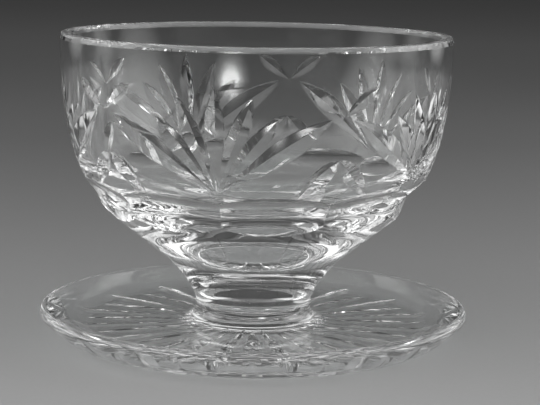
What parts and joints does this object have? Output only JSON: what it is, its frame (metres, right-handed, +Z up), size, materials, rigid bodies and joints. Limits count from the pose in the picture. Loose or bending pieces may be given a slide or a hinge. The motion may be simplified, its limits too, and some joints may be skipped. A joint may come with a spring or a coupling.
{
  "type": "sundae dish",
  "caption": "Clear cut-glass footed sundae dish: round bowl with fan and oval cuts on a short flared stem and a wide star-cut foot, for serving ice cream and desserts.",
  "frame": {"origin": "centre of the foot's flat underside, on the dish's axis", "axes": "+Z up along the dish's axis, towards the rim; one fan of the cut pattern faces -Y"},
  "size_m": [0.1106, 0.1106, 0.0788],
  "materials": {
    "cut_crystal": "clear lead crystal, cuts acid polished",
    "plain_crystal": "clear lead crystal, fire polished",
    "star_crystal": "clear lead crystal, ground base, star cuts polished"
  },
  "bodies": {
    "root": {"bowl": "cut_crystal", "stem": "plain_crystal", "foot": "star_crystal"}
  },
  "joints": []
}
